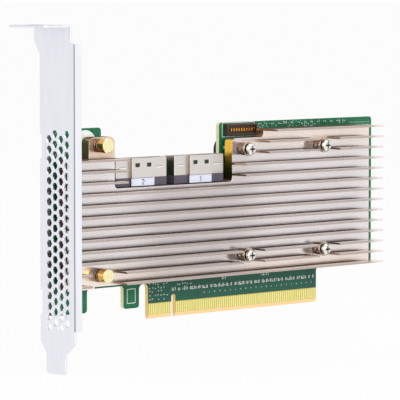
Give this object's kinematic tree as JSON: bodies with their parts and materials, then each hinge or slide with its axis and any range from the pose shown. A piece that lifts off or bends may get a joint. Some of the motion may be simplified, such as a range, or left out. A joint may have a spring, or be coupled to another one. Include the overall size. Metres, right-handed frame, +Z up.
{
  "type": "nvme switch adapter",
  "caption": "Drive switch adapter card: green board with gold edge finger, vented bracket, finned heat sink on sprung screws and cable connectors opening upwards.",
  "frame": {"origin": "centre of the key notch on the bottom edge of the edge finger, at the board's mid-thickness", "axes": "+X from the bracket to the board's far end, +Y away from the component side, +Z up out of the slot"},
  "size_m": [0.1721, 0.0216, 0.12],
  "materials": {
    "bracket_steel": "satin zinc-plated sheet",
    "green_laminate": "solder mask over glass laminate",
    "bare_aluminium": "bare extruded aluminium, satin",
    "gold_plate": "gold plate, bright",
    "chip_lid": "nickel lid on a laminate substrate",
    "thermal_compound": "grey gap pad",
    "black_steel": "black coated steel",
    "black_film": "insulating polyester film",
    "nickel_plate": "nickel plate",
    "spring_steel": "bright spring wire",
    "brass_pin": "turned brass",
    "tin_plate": "tinned copper",
    "black_plastic": "moulded epoxy",
    "chip_ceramic": "fired ceramic with tinned ends",
    "shell_steel": "folded tinned steel",
    "housing_plastic": "moulded liquid crystal polymer",
    "label_paper": "matt white label"
  },
  "bodies": {
    "root": {"back_plate": "black_steel", "back_plate_film": "black_film", "bracket_nuts": "nickel_plate", "bracket_screws": "nickel_plate", "circuit_board": "green_laminate", "clock_chip": "black_plastic", "coupling_capacitors": "chip_ceramic", "edge_contacts_front": "gold_plate", "edge_contacts_rear": "gold_plate", "filter_coil": "black_plastic", "flash_chip": "black_plastic", "heat_sink": "bare_aluminium", "io_bracket": "bracket_steel", "left_connector_contacts": "gold_plate", "left_connector_housing": "housing_plastic", "left_connector_label": "label_paper", "left_connector_shell": "shell_steel", "power_inductors": "black_plastic", "power_stages": "black_plastic", "press_nuts": "nickel_plate", "push_pin_pads": "tin_plate", "push_pin_springs": "spring_steel", "push_pins": "brass_pin", "rear_capacitors": "black_plastic", "rear_decoupling": "chip_ceramic", "right_connector_contacts": "gold_plate", "right_connector_housing": "housing_plastic", "right_connector_label": "label_paper", "right_connector_shell": "shell_steel", "screw_springs": "spring_steel", "service_header": "black_plastic", "service_header_pins": "gold_plate", "spring_screws": "nickel_plate", "switch_chip": "chip_lid", "thermal_pad": "thermal_compound", "top_strip_resistors": "chip_ceramic"}
  },
  "joints": []
}
